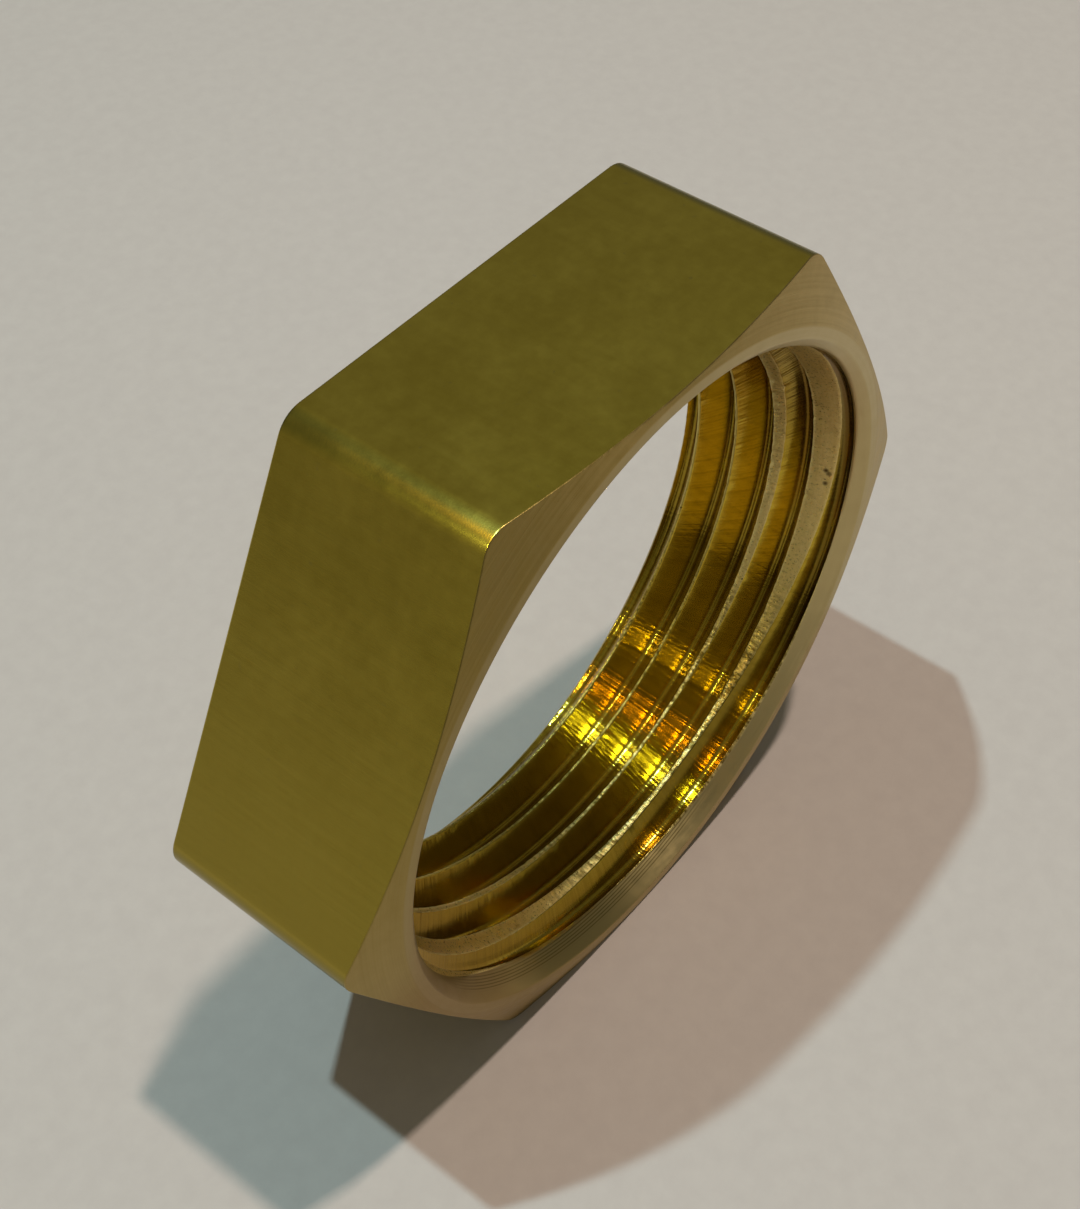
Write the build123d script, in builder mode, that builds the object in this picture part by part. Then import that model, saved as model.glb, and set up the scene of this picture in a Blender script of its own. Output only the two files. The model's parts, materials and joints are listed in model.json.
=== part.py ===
from build123d import *
from build123d.topology import SkipClean
from math import ceil, radians, tan
import os

# Brass pipe lock nut with a G 1 internal thread, standing on one of its flats.
# The thread axis lies along Y and the chamfered mouth faces -Y. The origin is the
# middle of the bore, and flats are at the top and bottom. Lengths are in millimetres.

# Right-hand pipe thread, 11 turns to the inch, as heights from its pitch line
pitch = 2.309
pitch_diameter = 31.95
crest_height = 0.775
root_depth = 0.74
flank_angle = 27.5
start_angle = 270.0  # where a groove crosses the front face, clockwise from straight up

# Hexagon
thickness = 11.0
wall = 1.285  # between a flat and the thread roots
corner_radius = 1.5

# Mouth: a wide countersink, then a slender cone that thins the first turns
mouth_relief = 0.485  # how far the countersink opens past the roots
mouth_depth = 0.65
lead_in = 1.2  # how far the slender cone opens past the crests
lead_in_angle = 13.0  # from the axis

# Front face: a narrow flat ring round the mouth, then a shallow cone across the corners
face_ring = 0.55
chamfer_angle = 16.0  # from the plane of the face

# Back face: a plain countersink round the bore
exit_relief = 0.385  # how far it opens past the roots
exit_angle = 60.0  # from the axis

# How the bore and thread are cut
wall_sectors = 6  # pieces of the bore wall to a turn
groove_sectors = 3  # pieces of the groove to a turn
tool_clearance = 0.2  # how far the groove's cutter stands out of the crests, into the bore

# Where those sizes lie: radii from the axis, and places along it
front = -thickness / 2
back = thickness / 2
crest = pitch_diameter / 2 - crest_height
root = pitch_diameter / 2 + root_depth
flat = root + wall
mouth = root + mouth_relief
face = mouth + face_ring
beyond = 2 * flat  # well outside the corners
lead_in_start = front + mouth_depth
lead_in_end = lead_in_start + lead_in / tan(radians(lead_in_angle))
exit = root + exit_relief
exit_start = back - (exit - crest) / tan(radians(exit_angle))


def groove_half_width(radius):
    """Half the width of the thread groove at a distance from the axis."""
    return pitch / 4 - (radius - pitch_diameter / 2) * tan(radians(flank_angle))


# One sector of the bore, as a cutter
with BuildPart() as bore:
    with BuildSketch(Plane.XY):
        with BuildLine():
            Polyline(
                (0, front),
                (mouth, front),
                (crest + lead_in, lead_in_start),
                (crest, lead_in_end),
                (crest, exit_start),
                (exit, back),
                (0, back),
                close=True,
            )
        make_face()
    revolve(axis=Axis.Y, revolution_arc=360 / wall_sectors)

bore_places = [
    Location((0, 0, 0), (0, sector * 360 / wall_sectors, 0))
    for sector in range(wall_sectors)
]

# One sector of the thread groove, as a cutter. Its helix sets out from straight above
# the axis, far enough in front of the nut to enter it whole.
groove_start = front - pitch * (1 + start_angle / 360)
opening = crest - tool_clearance
with BuildPart() as groove:
    with BuildLine() as helix:
        Helix(
            pitch,
            pitch / groove_sectors,
            pitch_diameter / 2,
            center=(0, groove_start, 0),
            direction=(0, 1, 0),
        )
    with BuildSketch(Plane.YZ):
        with BuildLine():
            Polyline(
                (groove_start - groove_half_width(opening), opening),
                (groove_start - groove_half_width(root), root),
                (groove_start + groove_half_width(root), root),
                (groove_start + groove_half_width(opening), opening),
                close=True,
            )
        make_face()
    sweep(path=helix.line, is_frenet=True)

groove_count = ceil(groove_sectors * (back + pitch - groove_start) / pitch)
groove_places = [
    Location(
        (0, sector * pitch / groove_sectors, 0),
        (0, sector * 360 / groove_sectors, 0),
    )
    for sector in range(groove_count)
]

with BuildPart() as nut:
    with BuildSketch(Plane.XZ.offset(-front)) as hexagon:
        RegularPolygon(flat, 6, major_radius=False)
        fillet(hexagon.vertices(), corner_radius)
    extrude(amount=-thickness)

    # The shallow cone across the corners of the front face
    with BuildSketch(Plane.XY):
        with BuildLine():
            Polyline(
                (face, front),
                (beyond, front),
                (beyond, front + (beyond - face) * tan(radians(chamfer_angle))),
                close=True,
            )
        make_face()
    revolve(axis=Axis.Y, mode=Mode.SUBTRACT)

    # The bore wall stays in sectors, so that each strip of crest is a short face
    with SkipClean():
        with Locations(bore_places):
            add(bore.part, mode=Mode.SUBTRACT)
        with Locations(groove_places):
            add(groove.part, mode=Mode.SUBTRACT)

nut.part.label = "lock_nut"
os.makedirs("parts", exist_ok=True)
export_step(nut.part, "parts/lock_nut.step")
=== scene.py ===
import json
import math

import bmesh
import bpy
import numpy as np
from mathutils import Euler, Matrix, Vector


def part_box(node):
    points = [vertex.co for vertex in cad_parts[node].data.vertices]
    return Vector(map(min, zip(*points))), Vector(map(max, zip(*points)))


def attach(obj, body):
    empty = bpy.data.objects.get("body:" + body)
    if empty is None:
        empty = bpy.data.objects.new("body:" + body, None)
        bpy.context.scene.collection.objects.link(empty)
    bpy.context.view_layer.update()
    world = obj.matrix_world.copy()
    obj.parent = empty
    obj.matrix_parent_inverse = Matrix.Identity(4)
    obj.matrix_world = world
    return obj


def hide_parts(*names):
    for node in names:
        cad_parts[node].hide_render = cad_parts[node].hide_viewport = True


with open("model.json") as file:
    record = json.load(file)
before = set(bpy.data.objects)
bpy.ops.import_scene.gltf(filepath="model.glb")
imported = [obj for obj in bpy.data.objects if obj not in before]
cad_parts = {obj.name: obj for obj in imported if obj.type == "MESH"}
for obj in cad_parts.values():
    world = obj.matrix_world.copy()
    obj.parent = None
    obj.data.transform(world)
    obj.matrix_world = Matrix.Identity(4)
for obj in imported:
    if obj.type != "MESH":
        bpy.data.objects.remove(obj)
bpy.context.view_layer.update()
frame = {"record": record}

# A turned brass lock nut that stands on one of its flats. Its thread axis is Y and the
# chamfered mouth faces -Y. Angles run clockwise from straight up, seen from the mouth.
# Sizes are in millimetres and meshes are made in metres.
MM = 0.001

# ---------------------------------------------------------------- sizes
low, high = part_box("lock_nut")
front, back = low.y / MM, high.y / MM
flat = high.z / MM  # from the axis to a flat
mounts = {mount["name"]: mount for mount in frame["record"]["mounts"]}
crest = mounts["thread"]["dims"]["r_mm"]
crest_centre = mounts["thread"]["pos_m"][1] / MM
crest_length = mounts["thread"]["dims"]["length_mm"]
crest_front = crest_centre - crest_length / 2  # where the lead-in cone ends
crest_back = crest_centre + crest_length / 2  # where the back countersink starts

side = math.radians(60)  # from the middle of one flat to the middle of the next
half_side = math.radians(30)
corner_radius = 1.5
corner_centre = (flat - corner_radius) / math.cos(half_side)
flat_reach = (flat - corner_radius) * math.tan(half_side)  # half the width of a flat

pitch = 2.309
pitch_radius = crest + 0.89
flank_angle = math.radians(30)
flank_apex = pitch_radius + pitch / 4 / math.tan(flank_angle)  # where sharp flanks would meet
root_radius = 0.32
root_half = root_radius * math.cos(flank_angle)  # half the width of the rounded root
first_groove = math.radians(300)  # where a groove crosses the front face

mouth = 17.2  # radius of the countersink at the front face
mouth_depth = 0.65
mouth_deeper = 0.75  # added where the countersink is deepest
mouth_deeper_at, mouth_deeper_within = math.radians(210), math.radians(40)
mouth_step = 4.0  # how steeply the countersink drops to a shallower lead-in cone
lead_in = 16.4  # radius where the countersink meets the slender lead-in cone
lead_in_least, lead_in_added = 0.12, 1.13  # shares of that cone's full depth
lead_in_least_at, lead_in_least_within = math.radians(160), math.radians(50)
ring = 17.75  # outer radius of the flat ring round the mouth
chamfer_slope = math.tan(math.radians(16))
exit_radius = 17.1  # radius of the countersink at the back face

# How far the edges are rounded.
mouth_bend, ring_bend, front_bend, back_bend, exit_bend = 0.06, 0.05, 0.04, 0.08, 0.05
crest_bend = 0.02

# The crests' torn edges: how deep they are, and how close to an edge they reach.
tear_depth, chip_depth, torn_reach = 0.014, 0.05, 0.09
chip_limit = 1.3  # chips come where the random waves rise above this
torn_least, torn_growth = 0.15, 1.5  # the tearing's share at the mouth, and its way to full

# Rows of points along the axis. The shares of one turn of the thread run from the groove's
# front edge down to its root, over the root, up to its back edge, and over the crest.
down_shares = (0, 0.06, 0.4, 0.75)
root_steps = np.linspace(-1, 1, 7)
up_shares = (0.25, 0.6, 0.94, 1)
land_shares = (0.1, 0.5, 0.9)
rows_per_turn = len(down_shares) + len(root_steps) + len(up_shares) + len(land_shares)
turns = 8
chamfer_steps, flat_steps, back_steps = 6, 8, 5


# ---------------------------------------------------------------- shape of the nut
def column_angles(per_corner=22, per_flat=94):
    """Angles round the axis, from straight up towards +X, closest on the rounded corners."""
    tilt = np.radians(np.linspace(-30, 30, per_corner + 1))
    on_corner = np.arctan2(
        corner_radius * np.sin(tilt), corner_centre + corner_radius * np.cos(tilt)
    )
    on_flat = np.arctan2(np.linspace(-flat_reach, flat_reach, per_flat + 1)[1:-1], flat)
    sextant = np.concatenate((on_flat, half_side + on_corner))
    return np.concatenate([sextant + side * turn for turn in range(6)])


def outline(angle):
    """Distance from the axis to the rounded hexagon, at each angle."""
    off_flat = (angle + half_side) % side - half_side
    off_corner = half_side - np.abs(off_flat)
    bow = corner_radius**2 - (corner_centre * np.sin(off_corner)) ** 2
    on_corner = corner_centre * np.cos(off_corner) + np.sqrt(np.maximum(bow, 0))
    return np.where(
        np.abs(off_flat) < math.atan(flat_reach / flat), flat / np.cos(off_flat), on_corner
    )


def hump(angle, centre, within):
    """1 at an angle round the axis, falling softly to 0 on both sides."""
    off = (angle - centre + math.pi) % math.tau - math.pi
    return np.exp(-((off / within) ** 2))


def lead_in_share(angle):
    """The share of the lead-in cone that is cut. The tool ran off centre, so it varies."""
    missing = hump(angle, lead_in_least_at, lead_in_least_within)
    return lead_in_least + lead_in_added * (1 - missing)


def mouth_end(angle):
    """Where the countersink at the mouth ends. It goes furthest in at the lower left."""
    return front + mouth_depth + mouth_deeper * hump(angle, mouth_deeper_at, mouth_deeper_within)


def bore(angle, y):
    """Radius of the bore without its thread."""
    cone_front = front + mouth_depth
    deepest = (lead_in - crest) * lead_in_share(angle)
    cone = crest + deepest * np.clip((crest_front - y) / (crest_front - cone_front), 0, 1)
    end = mouth_end(angle)
    countersink = mouth - (mouth - lead_in) * (y - front) / (end - front)
    countersink = np.minimum(countersink, lead_in - mouth_step * (y - end))
    at_back = np.clip((y - crest_back) / (back - crest_back), 0, 1)
    return np.maximum(cone, countersink) + (exit_radius - crest) * at_back


def groove(across):
    """Radius of the thread groove, at distances along the axis from its centre line."""
    across = np.abs(across)
    flank = pitch_radius + (pitch / 4 - across) / math.tan(flank_angle)
    root_centre = flank_apex - root_radius / math.sin(flank_angle)
    root = root_centre + np.sqrt(np.maximum(root_radius**2 - across**2, 0))
    return np.where(across < root_half, root, flank)


def ripple(angle, y, shortest, longest, seed, waves=28):
    """Random waves over the bore, from -1 to 1 or a little more; lengths are in millimetres."""
    draw = np.random.default_rng(seed)
    total = np.zeros(np.broadcast(angle, y).shape)
    for _ in range(waves):
        size = math.exp(draw.uniform(math.log(shortest), math.log(longest)))
        lean = draw.uniform(0, math.tau)
        whole_turns = round(math.tau * crest / size * math.cos(lean))
        along = math.tau / size * math.sin(lean)
        total += np.cos(whole_turns * angle + along * y + draw.uniform(0, 9))
    return total / math.sqrt(waves / 2)


def groove_start(angle):
    """Where the first groove's centre line lies at each angle, one turn before the front."""
    return front - pitch * (1 + (first_groove - angle) / math.tau)


def thread_cut(angle, y):
    """Radius that the thread's tool reaches, at the groove nearest to a place."""
    return groove((y - groove_start(angle) + pitch / 2) % pitch - pitch / 2)


def wall(angle, y):
    """Radius of the threaded bore, with its crests' edges torn and a little rounded."""
    plain, cut = bore(angle, y), thread_cut(angle, y)
    at_edge = np.exp(-(((cut - plain) / torn_reach) ** 2))
    at_edge = at_edge * np.clip((y - front - mouth_depth) / torn_growth, torn_least, 1)
    tear = ripple(angle, y, shortest=0.4, longest=0.9, seed=3)
    chips = np.maximum(ripple(angle, y, shortest=0.4, longest=0.8, seed=5) - chip_limit, 0)
    cut = cut + at_edge * (tear_depth * tear + chip_depth * chips)
    return (plain + cut + np.hypot(plain - cut, crest_bend)) / 2


def groove_edge(angle, centre, side_of, tries=90):
    """Where a groove's edge lies, on its front (-1) or back (1) side."""
    y = centre[:, None] + side_of * pitch / 2 * np.linspace(1, 0, tries)[None, :]
    depth = groove(y - centre[:, None]) - bore(angle[:, None], np.clip(y, front, back))
    inside = depth > 0
    first = np.where(inside.any(axis=1), inside.argmax(axis=1), tries - 1)
    return np.take_along_axis(y, first[:, None], axis=1)[:, 0]


def bore_rows(angle, nearest, furthest):
    """Places along the axis for each column's points on the bore wall, front to back."""
    rows = []
    for turn in range(turns):
        centre = groove_start(angle) + pitch * turn
        start = groove_edge(angle, centre, -1)
        end = groove_edge(angle, centre, 1)
        following = groove_edge(angle, centre + pitch, -1)
        for share in down_shares:
            rows.append(start + share * np.maximum(centre - root_half - start, 0))
        for step in root_steps:
            rows.append(np.clip(centre + step * root_half, start, end))
        for share in up_shares:
            rows.append(end - (1 - share) * np.maximum(end - centre - root_half, 0))
        for share in land_shares:
            rows.append(end + share * (following - end))
    around = 0.05  # how closely two rows hold each kink
    end = mouth_end(angle)
    for kink in (end, crest_front, crest_back):
        for step in (-around, 0, around):
            rows.append(kink + step + 0 * angle)
    for share in (0.25, 0.5, 0.75):
        rows.append(front + share * (end - front))
    for y in np.linspace(crest_back, back, 8)[1:-1]:
        rows.append(np.full_like(angle, y))
    return np.sort(np.clip(np.array(rows), nearest, furthest), axis=0)


def bend(before, corner, after, size, steps=3):
    """Rows of points that round a corner of the profile, each row a (y, radius) pair."""

    def towards(other):
        across = other - corner
        return corner + across / np.linalg.norm(across, axis=0) * size

    start, end = towards(before), towards(after)
    return [
        (1 - t) ** 2 * start + 2 * t * (1 - t) * corner + t**2 * end
        for t in np.linspace(0, 1, steps + 1)
    ]


def between(start, end, steps, settle=0.03):
    """Rows of points strictly between two rows, with one close to each that holds it flat."""
    length = np.linalg.norm(end - start, axis=0)
    near = np.minimum(settle / length, 0.5 / steps)
    shares = [near] + [t + 0 * near for t in np.linspace(0, 1, steps + 1)[1:-1]] + [1 - near]
    return [start + (end - start) * share for share in shares]


def nut_grid(angle):
    """The nut's whole surface as rows of (y, radius), and the first row of the bore wall."""
    rim = outline(angle)
    same = np.ones_like(angle)
    mouth_edge = np.array([front * same, mouth * same])
    ring_edge = np.array([front * same, ring * same])
    flat_front = np.array([front + (rim - ring) * chamfer_slope, rim])
    flat_back = np.array([back * same, rim])
    exit_edge = np.array([back * same, exit_radius * same])
    into_exit = np.array([crest_back * same, crest * same])
    into_mouth = np.array([mouth_end(angle), lead_in * same])

    at_mouth = bend(into_mouth, mouth_edge, ring_edge, mouth_bend)
    at_ring = bend(mouth_edge, ring_edge, flat_front, ring_bend, 1)
    at_front = bend(ring_edge, flat_front, flat_back, front_bend)
    at_back = bend(flat_front, flat_back, exit_edge, back_bend)
    at_exit = bend(flat_back, exit_edge, into_exit, exit_bend)

    rows = at_mouth + at_ring
    rows += between(at_ring[-1], at_front[0], chamfer_steps)
    rows += at_front
    rows += between(at_front[-1], at_back[0], flat_steps)
    rows += at_back
    rows += between(at_back[-1], at_exit[0], back_steps)
    rows += at_exit
    bore_start = len(rows)
    for y in bore_rows(angle, at_mouth[0][0], at_exit[-1][0])[::-1]:
        rows.append(np.array([y, wall(angle, y)]))
    return np.array(rows), bore_start


def make_nut():
    """The whole nut as one closed mesh."""
    angle = column_angles()
    grid, bore_start = nut_grid(angle)
    y, radius = grid[:, 0, :] * MM, grid[:, 1, :] * MM
    points = np.stack((radius * np.sin(angle), y, radius * np.cos(angle)), axis=-1)
    row_count, column_count = y.shape
    index = np.arange(row_count * column_count).reshape(row_count, column_count)
    beside = np.roll(index, -1, axis=1)
    # The rows follow the thread, so the last column meets the first one turn further on.
    meets = np.maximum(np.arange(bore_start, row_count) - rows_per_turn, bore_start)
    beside[bore_start:, -1] = index[meets, 0]
    faces = np.stack(
        (index, np.roll(index, -1, axis=0), np.roll(beside, -1, axis=0), beside), axis=-1
    )
    mesh = bpy.data.meshes.new("nut")
    mesh.from_pydata(points.reshape(-1, 3).tolist(), [], faces.reshape(-1, 4).tolist())
    made = bpy.data.objects.new("nut", mesh)
    bpy.context.scene.collection.objects.link(made)
    return made


def smooth_mesh(piece, tolerance=0.0008 * MM):
    """Merges the points that fell together, turns the faces outwards and shades them smooth."""
    work = bmesh.new()
    work.from_mesh(piece.data)
    bmesh.ops.remove_doubles(work, verts=work.verts, dist=tolerance)
    bmesh.ops.recalc_face_normals(work, faces=work.faces)
    for face in work.faces:
        face.smooth = True
    work.to_mesh(piece.data)
    work.free()


# ---------------------------------------------------------------- nodes
def node(tree, kind, inputs, **settings):
    """A new node. An input is a number, a colour, or another node's output."""
    made = tree.nodes.new("ShaderNode" + kind)
    for name, value in settings.items():
        setattr(made, name, value)
    for name, value in inputs.items():
        if isinstance(value, bpy.types.NodeSocket):
            tree.links.new(value, made.inputs[name])
        else:
            made.inputs[name].default_value = value
    return made


def calculate(tree, operation, first, *others):
    """A Math node's result for one value, or for several of them from left to right."""
    for other in others or (0.0,):
        first = node(tree, "Math", {0: first, 1: other}, operation=operation).outputs[0]
    return first


def spread(tree, value, low_in, high_in, low_out=0.0, high_out=1.0):
    """Maps a value from one range to another, and holds it inside the second."""
    inputs = {
        "Value": value,
        "From Min": low_in,
        "From Max": high_in,
        "To Min": low_out,
        "To Max": high_out,
    }
    return node(tree, "MapRange", inputs).outputs["Result"]


def noise(tree, vector, scale, detail=2.0, roughness=0.5):
    inputs = {"Vector": vector, "Scale": scale, "Detail": detail, "Roughness": roughness}
    return node(tree, "TexNoise", inputs).outputs["Fac"]


def blend(tree, factor, first, second):
    """A colour between two others."""
    inputs = {0: factor, 6: first, 7: second}
    return node(tree, "Mix", inputs, data_type="RGBA", clamp_factor=True).outputs[2]


def vector(tree, x, y, z):
    return node(tree, "CombineXYZ", {"X": x, "Y": y, "Z": z}).outputs[0]


class Brass:
    """Bare metal that is brushed, and where a point of it lies (in millimetres).

    Its highlights stretch round the axis, or across that.
    """

    def __init__(self, name, brushed, way):
        self.material = bpy.data.materials.new(name)
        self.material.use_nodes = True
        self.tree = tree = self.material.node_tree
        self.shader = shader = tree.nodes["Principled BSDF"]
        shader.inputs["Metallic"].default_value = 1
        shader.inputs["Anisotropic"].default_value = brushed
        shader.inputs["Anisotropic Rotation"].default_value = {"round": 0, "across": 0.25}[way]
        tangent = node(tree, "Tangent", {}, direction_type="RADIAL", axis="Y")
        tree.links.new(tangent.outputs[0], shader.inputs["Tangent"])

        source = node(tree, "TexCoord", {}).outputs["Object"]
        scaled = node(tree, "VectorMath", {0: source, "Scale": 1 / MM}, operation="SCALE")
        self.here = scaled.outputs["Vector"]
        split = node(tree, "SeparateXYZ", {0: self.here})
        self.x, self.y, self.z = (split.outputs[axis] for axis in "XYZ")
        across = vector(tree, self.x, 0, self.z)
        length = node(tree, "VectorMath", {0: across}, operation="LENGTH")
        self.radius = length.outputs["Value"]

    def round_axis(self, along):
        """Coordinates that follow the angle round the axis. y counts only by a factor."""
        return vector(
            self.tree,
            calculate(self.tree, "DIVIDE", self.x, self.radius),
            calculate(self.tree, "MULTIPLY", self.y, along),
            calculate(self.tree, "DIVIDE", self.z, self.radius),
        )

    def rings(self, step, drift):
        """Coordinates for rings that follow a value, and change slowly on the way round."""
        return vector(
            self.tree,
            step,
            calculate(self.tree, "MULTIPLY", self.x, drift),
            calculate(self.tree, "MULTIPLY", self.z, drift),
        )

    def facing(self, angle, full, none):
        """1 within so many degrees of an angle round the axis, falling to 0 further off."""
        tree, turn = self.tree, math.radians(angle)
        across = calculate(tree, "MULTIPLY", self.x, math.sin(turn))
        up = calculate(tree, "MULTIPLY", self.z, math.cos(turn))
        share = calculate(tree, "DIVIDE", calculate(tree, "ADD", across, up), self.radius)
        return spread(tree, share, math.cos(math.radians(none)), math.cos(math.radians(full)))

    def tool_lines(self):
        """The last few passes of the tool, as fine dark lines low down inside the mouth."""
        tree, spacing = self.tree, 0.13
        nearest, furthest, fade = front + 0.45, front + 1.3, 0.15
        wave = calculate(tree, "SINE", calculate(tree, "MULTIPLY", self.y, math.tau / spacing))
        within = calculate(
            tree,
            "MULTIPLY",
            self.facing(200, full=32, none=42),
            spread(tree, self.y, nearest, nearest + fade),
            spread(tree, self.y, furthest, furthest - fade),
            spread(tree, self.radius, mouth, mouth - 0.2),
        )
        return calculate(tree, "MULTIPLY", spread(tree, wave, 0.0, 0.8, 0, 0.8), within)

    def mark(self, angle, radius, y, size):
        """A small round spot, at an angle (degrees), a radius and a place along the axis."""
        turn = math.radians(angle)
        centre = (radius * math.sin(turn), y, radius * math.cos(turn))
        away = node(self.tree, "VectorMath", {0: self.here, 1: centre}, operation="DISTANCE")
        return spread(self.tree, away.outputs["Value"], size, size * 0.6)

    def finish(self, colour, roughness, height, distance):
        """Links the finish up. The surface rises by a distance where the height goes to 1."""
        inputs = {"Height": height, "Distance": distance * MM, "Strength": 1.0}
        bump = node(self.tree, "Bump", inputs)
        self.tree.links.new(colour, self.shader.inputs["Base Color"])
        self.tree.links.new(roughness, self.shader.inputs["Roughness"])
        self.tree.links.new(bump.outputs["Normal"], self.shader.inputs["Normal"])
        return self.material


# ---------------------------------------------------------------- finishes
def drawn_brass():
    """The flats, as drawn bar: satin, with faint streaks along the bar and dull mottling."""
    dark, light = (0.55, 0.410, 0.054, 1), (0.60, 0.455, 0.070, 1)
    spotted = (0.42, 0.33, 0.09, 1)
    corner_shade = (0.21, 0.19, 0.035, 1)
    painted_shade = (0.29, 0.22, 0.04, 1)

    brass = Brass("drawn_brass", brushed=0.6, way="round")
    tree, here = brass.tree, brass.here
    along = vector(tree, brass.x, calculate(tree, "MULTIPLY", brass.y, 0.06), brass.z)
    streaks = noise(tree, along, scale=3.2, detail=4, roughness=0.62)
    clouds = noise(tree, here, scale=0.28, detail=3, roughness=0.55)
    mottle = noise(tree, here, scale=1.5, detail=3, roughness=0.6)
    grain = noise(tree, here, scale=14, detail=3, roughness=0.6)

    tone = calculate(
        tree,
        "ADD",
        streaks,
        calculate(tree, "MULTIPLY", clouds, 1.2),
        calculate(tree, "MULTIPLY", mottle, 0.6),
    )
    colour = blend(tree, spread(tree, tone, 1.0, 1.8), dark, light)
    spots = noise(tree, here, scale=2.6, detail=2, roughness=0.5)
    colour = blend(tree, spread(tree, spots, 0.71, 0.76, 0, 0.4), colour, spotted)
    # Painted shade: the middle of each rounded corner is darkened in the base colour, which dims
    # its highlight.
    corner = spread(tree, brass.radius, 20.43, 20.54, 0, 0.85)
    colour = blend(tree, corner, colour, corner_shade)
    # Painted shade: the flats grow darker towards the bottom, in the base colour.
    lower = spread(tree, brass.z, 12, -5, 0, 0.9)
    colour = blend(tree, lower, colour, painted_shade)

    roughness = spread(tree, calculate(tree, "ADD", clouds, mottle), 0.75, 1.25, 0.205, 0.245)
    height = calculate(tree, "ADD", streaks, calculate(tree, "MULTIPLY", grain, 0.35))
    return brass.finish(colour, roughness, height, distance=0.004)


def turned_brass():
    """The end faces, the chamfer and the countersinks, with fine rings from the tool."""
    dark, light = (0.43, 0.31, 0.095, 1), (0.54, 0.40, 0.145, 1)
    ring_pale = (0.55, 0.435, 0.205, 1)
    painted_shade = (0.24, 0.165, 0.03, 1)
    line_dark = (0.18, 0.13, 0.04, 1)

    brass = Brass("turned_brass", brushed=0.8, way="across")
    tree = brass.tree
    outward = calculate(tree, "ADD", brass.radius, calculate(tree, "MULTIPLY", brass.y, 0.7))
    outward = brass.rings(outward, drift=0.012)
    rings = noise(tree, outward, scale=5.5, detail=3, roughness=0.65)
    fine = noise(tree, outward, scale=19, detail=2, roughness=0.6)
    mottle = noise(tree, brass.here, scale=1.1, detail=3, roughness=0.6)

    tone = calculate(tree, "ADD", calculate(tree, "MULTIPLY", rings, 0.8), mottle)
    colour = blend(tree, spread(tree, tone, 0.65, 1.15), dark, light)
    on_ring = spread(tree, brass.radius, ring + 0.05, ring - 0.05)
    colour = blend(tree, on_ring, colour, ring_pale)
    # Painted shade: the faces towards 265 degrees round the axis are darkened in the base
    # colour.
    near_side_shade = calculate(tree, "MULTIPLY", brass.facing(265, full=55, none=105), 0.5)
    colour = blend(tree, near_side_shade, colour, painted_shade)
    colour = blend(tree, brass.tool_lines(), colour, line_dark)

    roughness = spread(tree, calculate(tree, "ADD", fine, mottle), 0.7, 1.3, 0.30, 0.42)
    height = calculate(tree, "ADD", rings, calculate(tree, "MULTIPLY", fine, 0.5))
    return brass.finish(colour, roughness, height, distance=0.010)


def thread_brass():
    """The thread's flanks and roots: bright, with fine chatter lines across each groove."""
    dark, light = (0.56, 0.39, 0.03, 1), (0.70, 0.50, 0.06, 1)
    rib_dark = (0.34, 0.23, 0.02, 1)
    painted_shade = (0.16, 0.10, 0.015, 1)
    pit_dark = (0.05, 0.03, 0.01, 1)

    brass = Brass("thread_brass", brushed=0.95, way="across")
    tree, y = brass.tree, brass.y
    across_groove = brass.round_axis(along=0.0004)
    chatter = noise(tree, across_groove, scale=95, detail=1, roughness=0.5)
    waves = noise(tree, across_groove, scale=22, detail=2, roughness=0.5)
    mottle = noise(tree, brass.here, scale=0.9, detail=3, roughness=0.6)

    tone = calculate(tree, "ADD", calculate(tree, "MULTIPLY", chatter, 0.5), mottle)
    colour = blend(tree, spread(tree, tone, 0.5, 1.0), dark, light)
    colour = blend(tree, spread(tree, chatter, 0.50, 0.38, 0, 0.25), colour, rib_dark)

    def where(*shares):
        return calculate(tree, "MULTIPLY", *shares)

    # Painted shade: the places below are darkened in the base colour, standing in for shade that
    # fell on them.
    roots = where(
        spread(tree, brass.radius, 16.5, 16.7, 0, 0.6), brass.facing(75, full=40, none=60)
    )
    by_mouth = where(
        spread(tree, y, front + 1.5, front + 1.2, 0, 0.75), brass.facing(80, full=40, none=60)
    )
    rear_flank = where(
        spread(tree, y, front + 1.6, front + 2.0, 0, 0.65),
        spread(tree, y, front + 2.8, front + 2.6),
        brass.facing(138, full=25, none=45),
    )
    second_groove = where(
        spread(tree, y, front + 4.6, front + 4.0, 0, 0.45), brass.facing(55, full=18, none=38)
    )
    low_down = where(brass.facing(208, full=30, none=45), 0.45)
    for shade_place in (roots, by_mouth, rear_flank, second_groove, low_down):
        colour = blend(tree, shade_place, colour, painted_shade)
    pit = brass.mark(angle=181.5, radius=16.5, y=-0.9, size=0.24)
    colour = blend(tree, pit, colour, pit_dark)

    roughness = spread(tree, calculate(tree, "ADD", waves, mottle), 0.75, 1.25, 0.135, 0.175)
    height = calculate(tree, "ADD", chatter, calculate(tree, "MULTIPLY", waves, 0.1))
    return brass.finish(colour, roughness, height, distance=0.0095)


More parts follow.
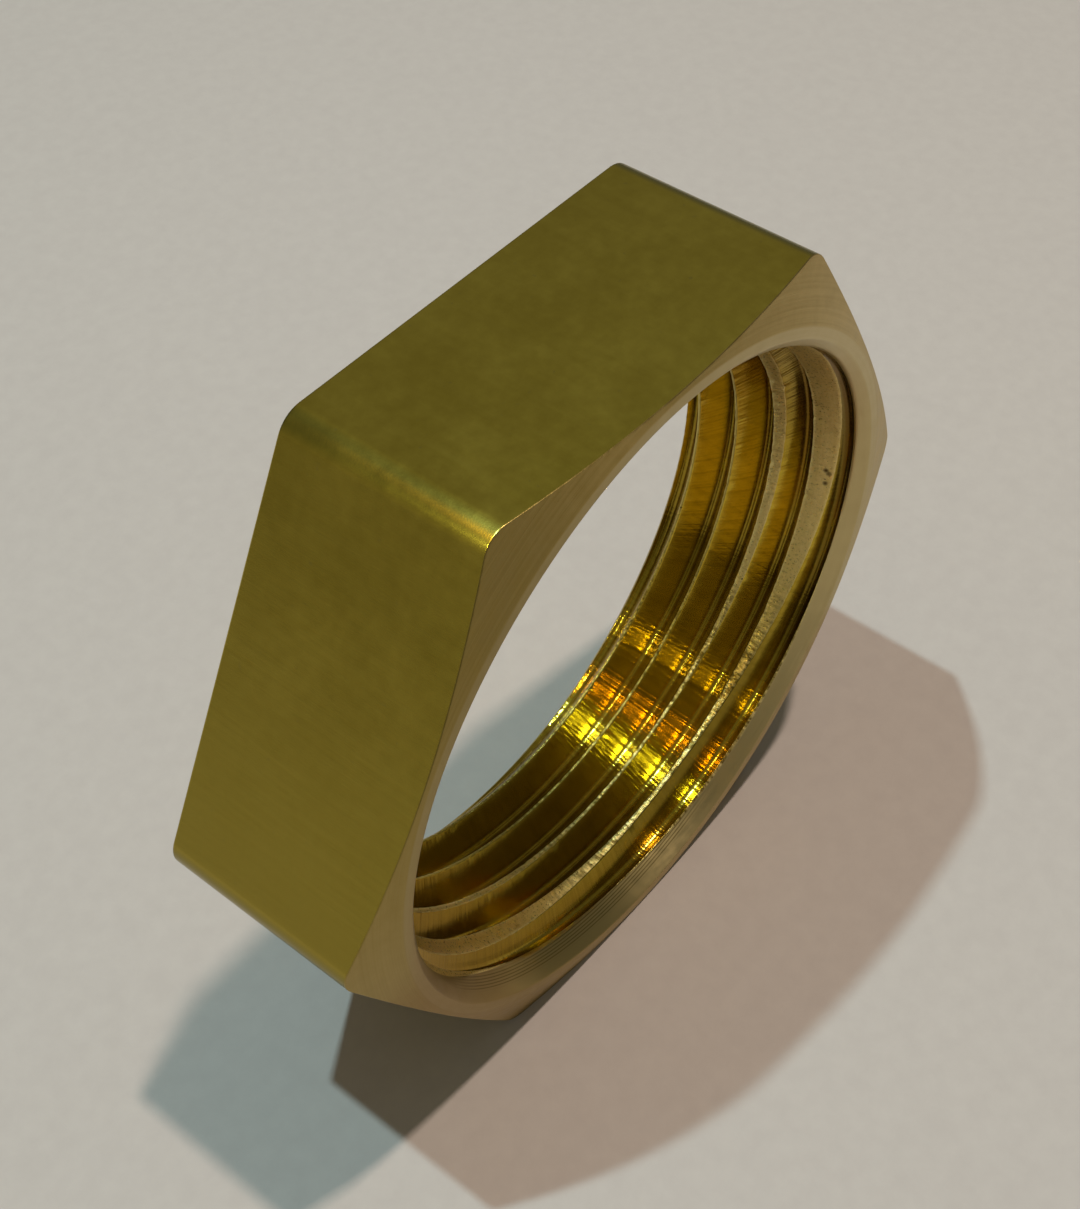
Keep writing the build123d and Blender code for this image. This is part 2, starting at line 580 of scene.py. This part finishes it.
def crest_brass():
    """The thread's crests: pale and matte, torn by the tap."""
    dark, light = (0.80, 0.635, 0.225, 1), (0.97, 0.80, 0.36, 1)
    deep_shade = (0.47, 0.365, 0.05, 1)
    dash_dark = (0.36, 0.27, 0.055, 1)
    gap_dark = (0.14, 0.09, 0.015, 1)
    pit_dark = (0.10, 0.06, 0.02, 1)
    line_dark = (0.22, 0.16, 0.04, 1)

    brass = Brass("crest_brass", brushed=0.7, way="across")
    tree, here = brass.tree, brass.here
    rings = noise(tree, brass.rings(brass.y, drift=0.03), scale=5, detail=2, roughness=0.6)
    torn = noise(tree, here, scale=7, detail=4, roughness=0.75)
    dashes = noise(tree, brass.round_axis(along=0.02), scale=75, detail=3, roughness=0.7)

    tone = calculate(tree, "ADD", calculate(tree, "MULTIPLY", rings, 0.6), torn)
    colour = blend(tree, spread(tree, tone, 0.55, 1.05), dark, light)
    # Painted shade: the crests darken in the base colour further into the bore, past the lead-in
    # cone.
    deep = spread(tree, brass.y, crest_front - 0.2, crest_front + 0.4, 0, 0.6)
    colour = blend(tree, deep, colour, deep_shade)
    narrow = brass.facing(158, full=22, none=45)
    dulled = calculate(tree, "MULTIPLY", narrow, spread(tree, dashes, 0.62, 0.5, 0, 0.75))
    colour = blend(tree, dulled, colour, dash_dark)
    gaps = calculate(tree, "MULTIPLY", narrow, spread(tree, dashes, 0.50, 0.40, 0, 0.85))
    colour = blend(tree, gaps, colour, gap_dark)
    pits = noise(tree, here, scale=3.3, detail=1, roughness=0.5)
    first_crest = 16.1  # its radius where the nicks are
    nicks = [
        brass.mark(angle, first_crest, y, size)
        for angle, y, size in ((87.6, -3.74, 0.24), (88.2, -3.90, 0.27), (90.6, -3.80, 0.22))
    ]
    pits = calculate(tree, "MAXIMUM", spread(tree, pits, 0.765, 0.79), *nicks)
    colour = blend(tree, pits, colour, pit_dark)
    colour = blend(tree, brass.tool_lines(), colour, line_dark)

    roughness = spread(tree, torn, 0.3, 0.7, 0.22, 0.42)
    height = calculate(tree, "ADD", torn, calculate(tree, "MULTIPLY", dashes, 1.5))
    return brass.finish(colour, roughness, height, distance=0.03)


def zone_of(centre):
    """Which finish a face takes, from where its centre lies (mm)."""
    x, y, z = centre
    radius = math.hypot(x, z)
    if radius > ring:
        chamfer = front + (radius - ring) * chamfer_slope
        return "drawn" if chamfer + 0.05 < y < back - 0.02 else "turned"
    angle = math.atan2(x, z) % math.tau
    if thread_cut(angle, y) > bore(angle, y):
        return "thread"
    return "turned" if y > crest_back or y < mouth_end(angle) else "crest"


nut = make_nut()
smooth_mesh(nut)
finishes = {
    "drawn": drawn_brass(),
    "turned": turned_brass(),
    "thread": thread_brass(),
    "crest": crest_brass(),
}
for material in finishes.values():
    nut.data.materials.append(material)
order = list(finishes)
for face in nut.data.polygons:
    face.material_index = order.index(zone_of(face.center / MM))
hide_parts("lock_nut")
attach(nut, "root")


# ---------------------------------------------------------------- stage, light and camera
def make_floor(reach=3.0):
    """A pale matt table top, out to so many metres from the nut."""
    dark, light = (0.595, 0.530, 0.490, 1), (0.625, 0.560, 0.516, 1)
    mesh = bpy.data.meshes.new("floor")
    corners = [(-reach, -reach), (reach, -reach), (reach, reach), (-reach, reach)]
    mesh.from_pydata([(x, y, low.z) for x, y in corners], [], [(0, 1, 2, 3)])
    floor = bpy.data.objects.new("floor", mesh)
    bpy.context.scene.collection.objects.link(floor)
    material = bpy.data.materials.new("table")
    material.use_nodes = True
    tree = material.node_tree
    shader = tree.nodes["Principled BSDF"]
    source = node(tree, "TexCoord", {}).outputs["Object"]
    grain = spread(tree, noise(tree, source, scale=900, detail=3, roughness=0.6), 0.3, 0.7)
    tree.links.new(blend(tree, grain, dark, light), shader.inputs["Base Color"])
    shader.inputs["Roughness"].default_value = 0.6
    shader.inputs["Specular IOR Level"].default_value = 0.2
    floor.data.materials.append(material)


def make_lamp(name, towards, size, level, lights_floor=True, distance=0.4):
    """A square lamp, its size a share of its distance (metres).

    level is what it alone would add to a white floor under the nut. A lamp that doesn't
    light the floor lights no matt surface, and shows in reflections only.
    """
    out = Vector(towards).normalized()
    lamp = bpy.data.lights.new(name, "AREA")
    lamp.size = size * distance
    peak = max(level)
    lamp.energy = peak * (math.pi * distance) ** 2 / out.z
    lamp.color = [channel / peak for channel in level]
    holder = bpy.data.objects.new(name, lamp)
    bpy.context.scene.collection.objects.link(holder)
    holder.location = out * distance
    holder.rotation_euler = out.to_track_quat("Z", "Y").to_euler()
    holder.visible_diffuse = lights_floor


def make_camera():
    """The photograph's camera, as fitted to the nut's corners and outline."""
    place = Vector((-41.08, -32.63, 60.76)) * MM
    turn_degrees = (36.872, 0.649, -50.755)
    lens = bpy.data.cameras.new("camera")
    lens.lens = 50.15
    lens.sensor_width = 36
    lens.shift_y = 0.1203
    lens.clip_start = 0.005
    holder = bpy.data.objects.new("camera", lens)
    bpy.context.scene.collection.objects.link(holder)
    holder.location = place
    holder.rotation_euler = Euler(map(math.radians, turn_degrees), "XYZ")
    bpy.context.scene.camera = holder


make_floor()
cool, warm, amber, yellow = (
    (0.257, 0.375, 0.410),
    (0.452, 0.383, 0.331),
    (0.160, 0.100, 0.026),
    (0.050, 0.048, 0.020),
)
make_lamp("cool_lamp", (-0.135, 0.287, 0.948), size=0.024, level=cool)
make_lamp("warm_lamp", (0.223, -0.088, 0.971), size=0.045, level=warm)
make_lamp("amber_lamp", (-0.36, 0.34, 0.87), size=0.012, level=amber, lights_floor=False)
make_lamp("far_lamp", (-0.67, 0.35, 0.66), size=0.012, level=yellow, lights_floor=False)
make_camera()

room_light = (0.145, 0.142, 0.115, 1)
world = bpy.data.worlds.new("studio")
bpy.context.scene.world = world
world.use_nodes = True
world.node_tree.nodes["Background"].inputs["Color"].default_value = room_light
bpy.context.scene.view_settings.view_transform = "Standard"
